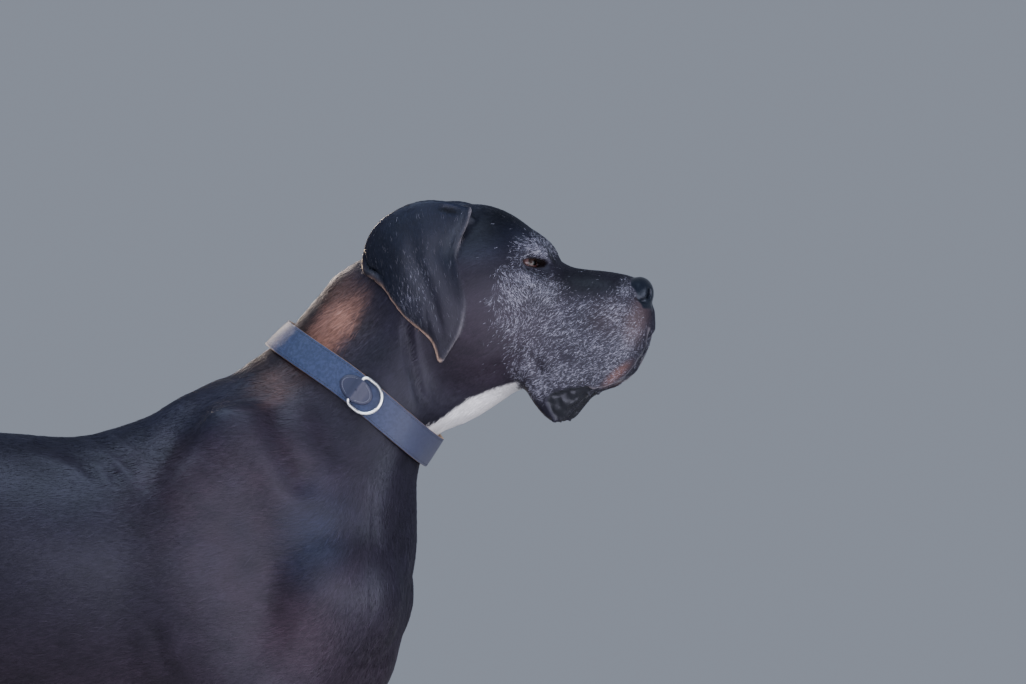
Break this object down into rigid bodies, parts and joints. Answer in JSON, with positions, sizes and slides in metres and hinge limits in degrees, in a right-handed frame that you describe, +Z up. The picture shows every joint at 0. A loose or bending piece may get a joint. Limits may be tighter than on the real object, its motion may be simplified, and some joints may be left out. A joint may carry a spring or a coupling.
{
  "type": "great dane dog model",
  "caption": "Life-size still model of a standing great dane, black with a greying face and a white throat, wearing a stitched leather collar with a ring.",
  "frame": {"origin": "on the floor, under the centre of the whole outline", "axes": "+Z up, +X the way the dog faces, +Y its left"},
  "size_m": [1.2306, 0.2934, 1.0736],
  "materials": {
    "coat": "short, close-lying black hair with a satin sheen, greying on the face",
    "nose_leather": "moist, pebbled black skin",
    "claw_horn": "dark horn, half gloss",
    "eye": "wet dark brown eye",
    "collar_leather": "smooth grey-blue strap leather, stitched",
    "collar_metal": "polished"
  },
  "bodies": {
    "root": {"claw_fore_left_1": "claw_horn", "claw_fore_left_2": "claw_horn", "claw_fore_left_3": "claw_horn", "claw_fore_left_4": "claw_horn", "claw_fore_right_1": "claw_horn", "claw_fore_right_2": "claw_horn", "claw_fore_right_3": "claw_horn", "claw_fore_right_4": "claw_horn", "claw_hind_left_1": "claw_horn", "claw_hind_left_2": "claw_horn", "claw_hind_left_3": "claw_horn", "claw_hind_left_4": "claw_horn", "claw_hind_right_1": "claw_horn", "claw_hind_right_2": "claw_horn", "claw_hind_right_3": "claw_horn", "claw_hind_right_4": "claw_horn", "collar_buckle": "collar_metal", "collar_end": "collar_leather", "collar_keeper": "collar_leather", "collar_ring": "collar_metal", "collar_strap": "collar_leather", "collar_tab": "collar_leather", "collar_tongue": "collar_metal", "dewclaw_left": "claw_horn", "dewclaw_right": "claw_horn", "ear_left": "coat", "ear_right": "coat", "eye_left": "eye", "eye_right": "eye", "foreleg_left": "coat", "foreleg_right": "coat", "head": "coat", "hindleg_left": "coat", "hindleg_right": "coat", "neck": "coat", "nose": "nose_leather", "paw_fore_left": "coat", "paw_fore_right": "coat", "paw_hind_left": "coat", "paw_hind_right": "coat", "tail": "coat", "trunk": "coat"}
  },
  "joints": []
}
